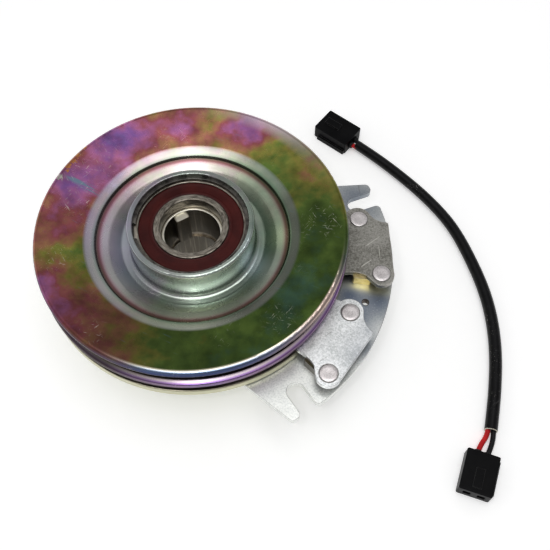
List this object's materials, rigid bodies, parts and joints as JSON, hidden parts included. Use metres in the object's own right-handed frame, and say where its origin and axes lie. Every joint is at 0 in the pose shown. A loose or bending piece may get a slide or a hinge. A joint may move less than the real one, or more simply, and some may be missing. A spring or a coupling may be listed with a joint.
{
  "type": "electromagnetic clutch",
  "caption": "Power take-off clutch: V-belt pulley on a sealed bearing over a stationary field coil, with a slotted torque plate, riveted brake plates and a short adaptor lead.",
  "frame": {"origin": "on the shaft axis at the face the clutch stands on, where the crankshaft enters the bore", "axes": "+Z along the shaft towards the pulley's hub lip; +X through the middle of the brake lobe"},
  "size_m": [0.2315, 0.1949, 0.06],
  "materials": {
    "pulley_plating": "iridescent yellow zinc",
    "bearing_steel": "ground",
    "seal_rubber": "satin",
    "cage_plastic": "moulded",
    "clear_zinc": "bright zinc plate",
    "brake_zinc": "grained zinc plate",
    "turned_steel": "fine turned",
    "spring_steel": "blued",
    "rivet_steel": "bright zinc plate",
    "spacer_plating": "yellow zinc",
    "ring_steel": "phosphated",
    "shell_plating": "pale zinc plate",
    "magnet_ferrite": "sintered",
    "coil_copper": "enamelled wire",
    "bobbin_nylon": "moulded",
    "potting_resin": "cast",
    "black_nylon": "moulded",
    "sleeve_vinyl": "extruded",
    "wire_red_vinyl": "extruded",
    "wire_black_vinyl": "extruded",
    "terminal_brass": "tinned"
  },
  "bodies": {
    "field": {"base_plate": "clear_zinc", "field_shell": "shell_plating", "bearing_housing": "turned_steel", "shell_weld": "turned_steel", "coil_bobbin": "bobbin_nylon", "coil_winding": "coil_copper", "coil_potting": "potting_resin", "field_bearing_outer": "bearing_steel", "field_bearing_balls": "bearing_steel", "field_bearing_cage": "cage_plastic", "field_bearing_seals": "seal_rubber", "field_retaining_ring": "ring_steel", "terminal_socket": "black_nylon", "terminal_pins": "terminal_brass", "brake_plate_1": "brake_zinc", "brake_plate_2": "brake_zinc", "brake_spacers": "spacer_plating", "brake_magnets": "magnet_ferrite", "brake_rivets": "rivet_steel", "harness_sleeve": "sleeve_vinyl", "wire_red": "wire_red_vinyl", "wire_black": "wire_black_vinyl", "connector_a": "black_nylon", "connector_b": "black_nylon", "connector_terminals": "terminal_brass"},
    "rotor": {"rotor_hub": "turned_steel", "rotor_disc": "turned_steel", "hub_snap_ring": "ring_steel", "field_bearing_inner": "bearing_steel", "pulley_bearing_inner": "bearing_steel"},
    "pulley": {"pulley_upper": "pulley_plating", "pulley_lower": "pulley_plating", "pulley_bearing_outer": "bearing_steel", "pulley_bearing_balls": "bearing_steel", "pulley_bearing_cage": "cage_plastic", "bearing_seal_top": "seal_rubber", "bearing_seal_bottom": "seal_rubber", "bearing_retaining_ring": "ring_steel", "leaf_springs": "spring_steel", "spring_rivets": "rivet_steel"},
    "armature": {"armature_ring": "turned_steel", "armature_rivets": "rivet_steel"}
  },
  "joints": [
    {"name": "rotor_spin", "type": "hinge", "parent": "field", "child": "rotor", "pos_m": [0, 0, 0.009], "axis": [0, 0, 1], "continuous": true},
    {"name": "pulley_spin", "type": "hinge", "parent": "rotor", "child": "pulley", "pos_m": [0, 0, 0.0506], "axis": [0, 0, 1], "continuous": true},
    {"name": "armature_travel", "type": "slide", "parent": "pulley", "child": "armature", "axis": [0, 0, -1], "range_m": [0, 0.0004], "stiffness_N_per_m": 3000, "springref_m": -0.003, "deforming": ["leaf_springs"]}
  ]
}
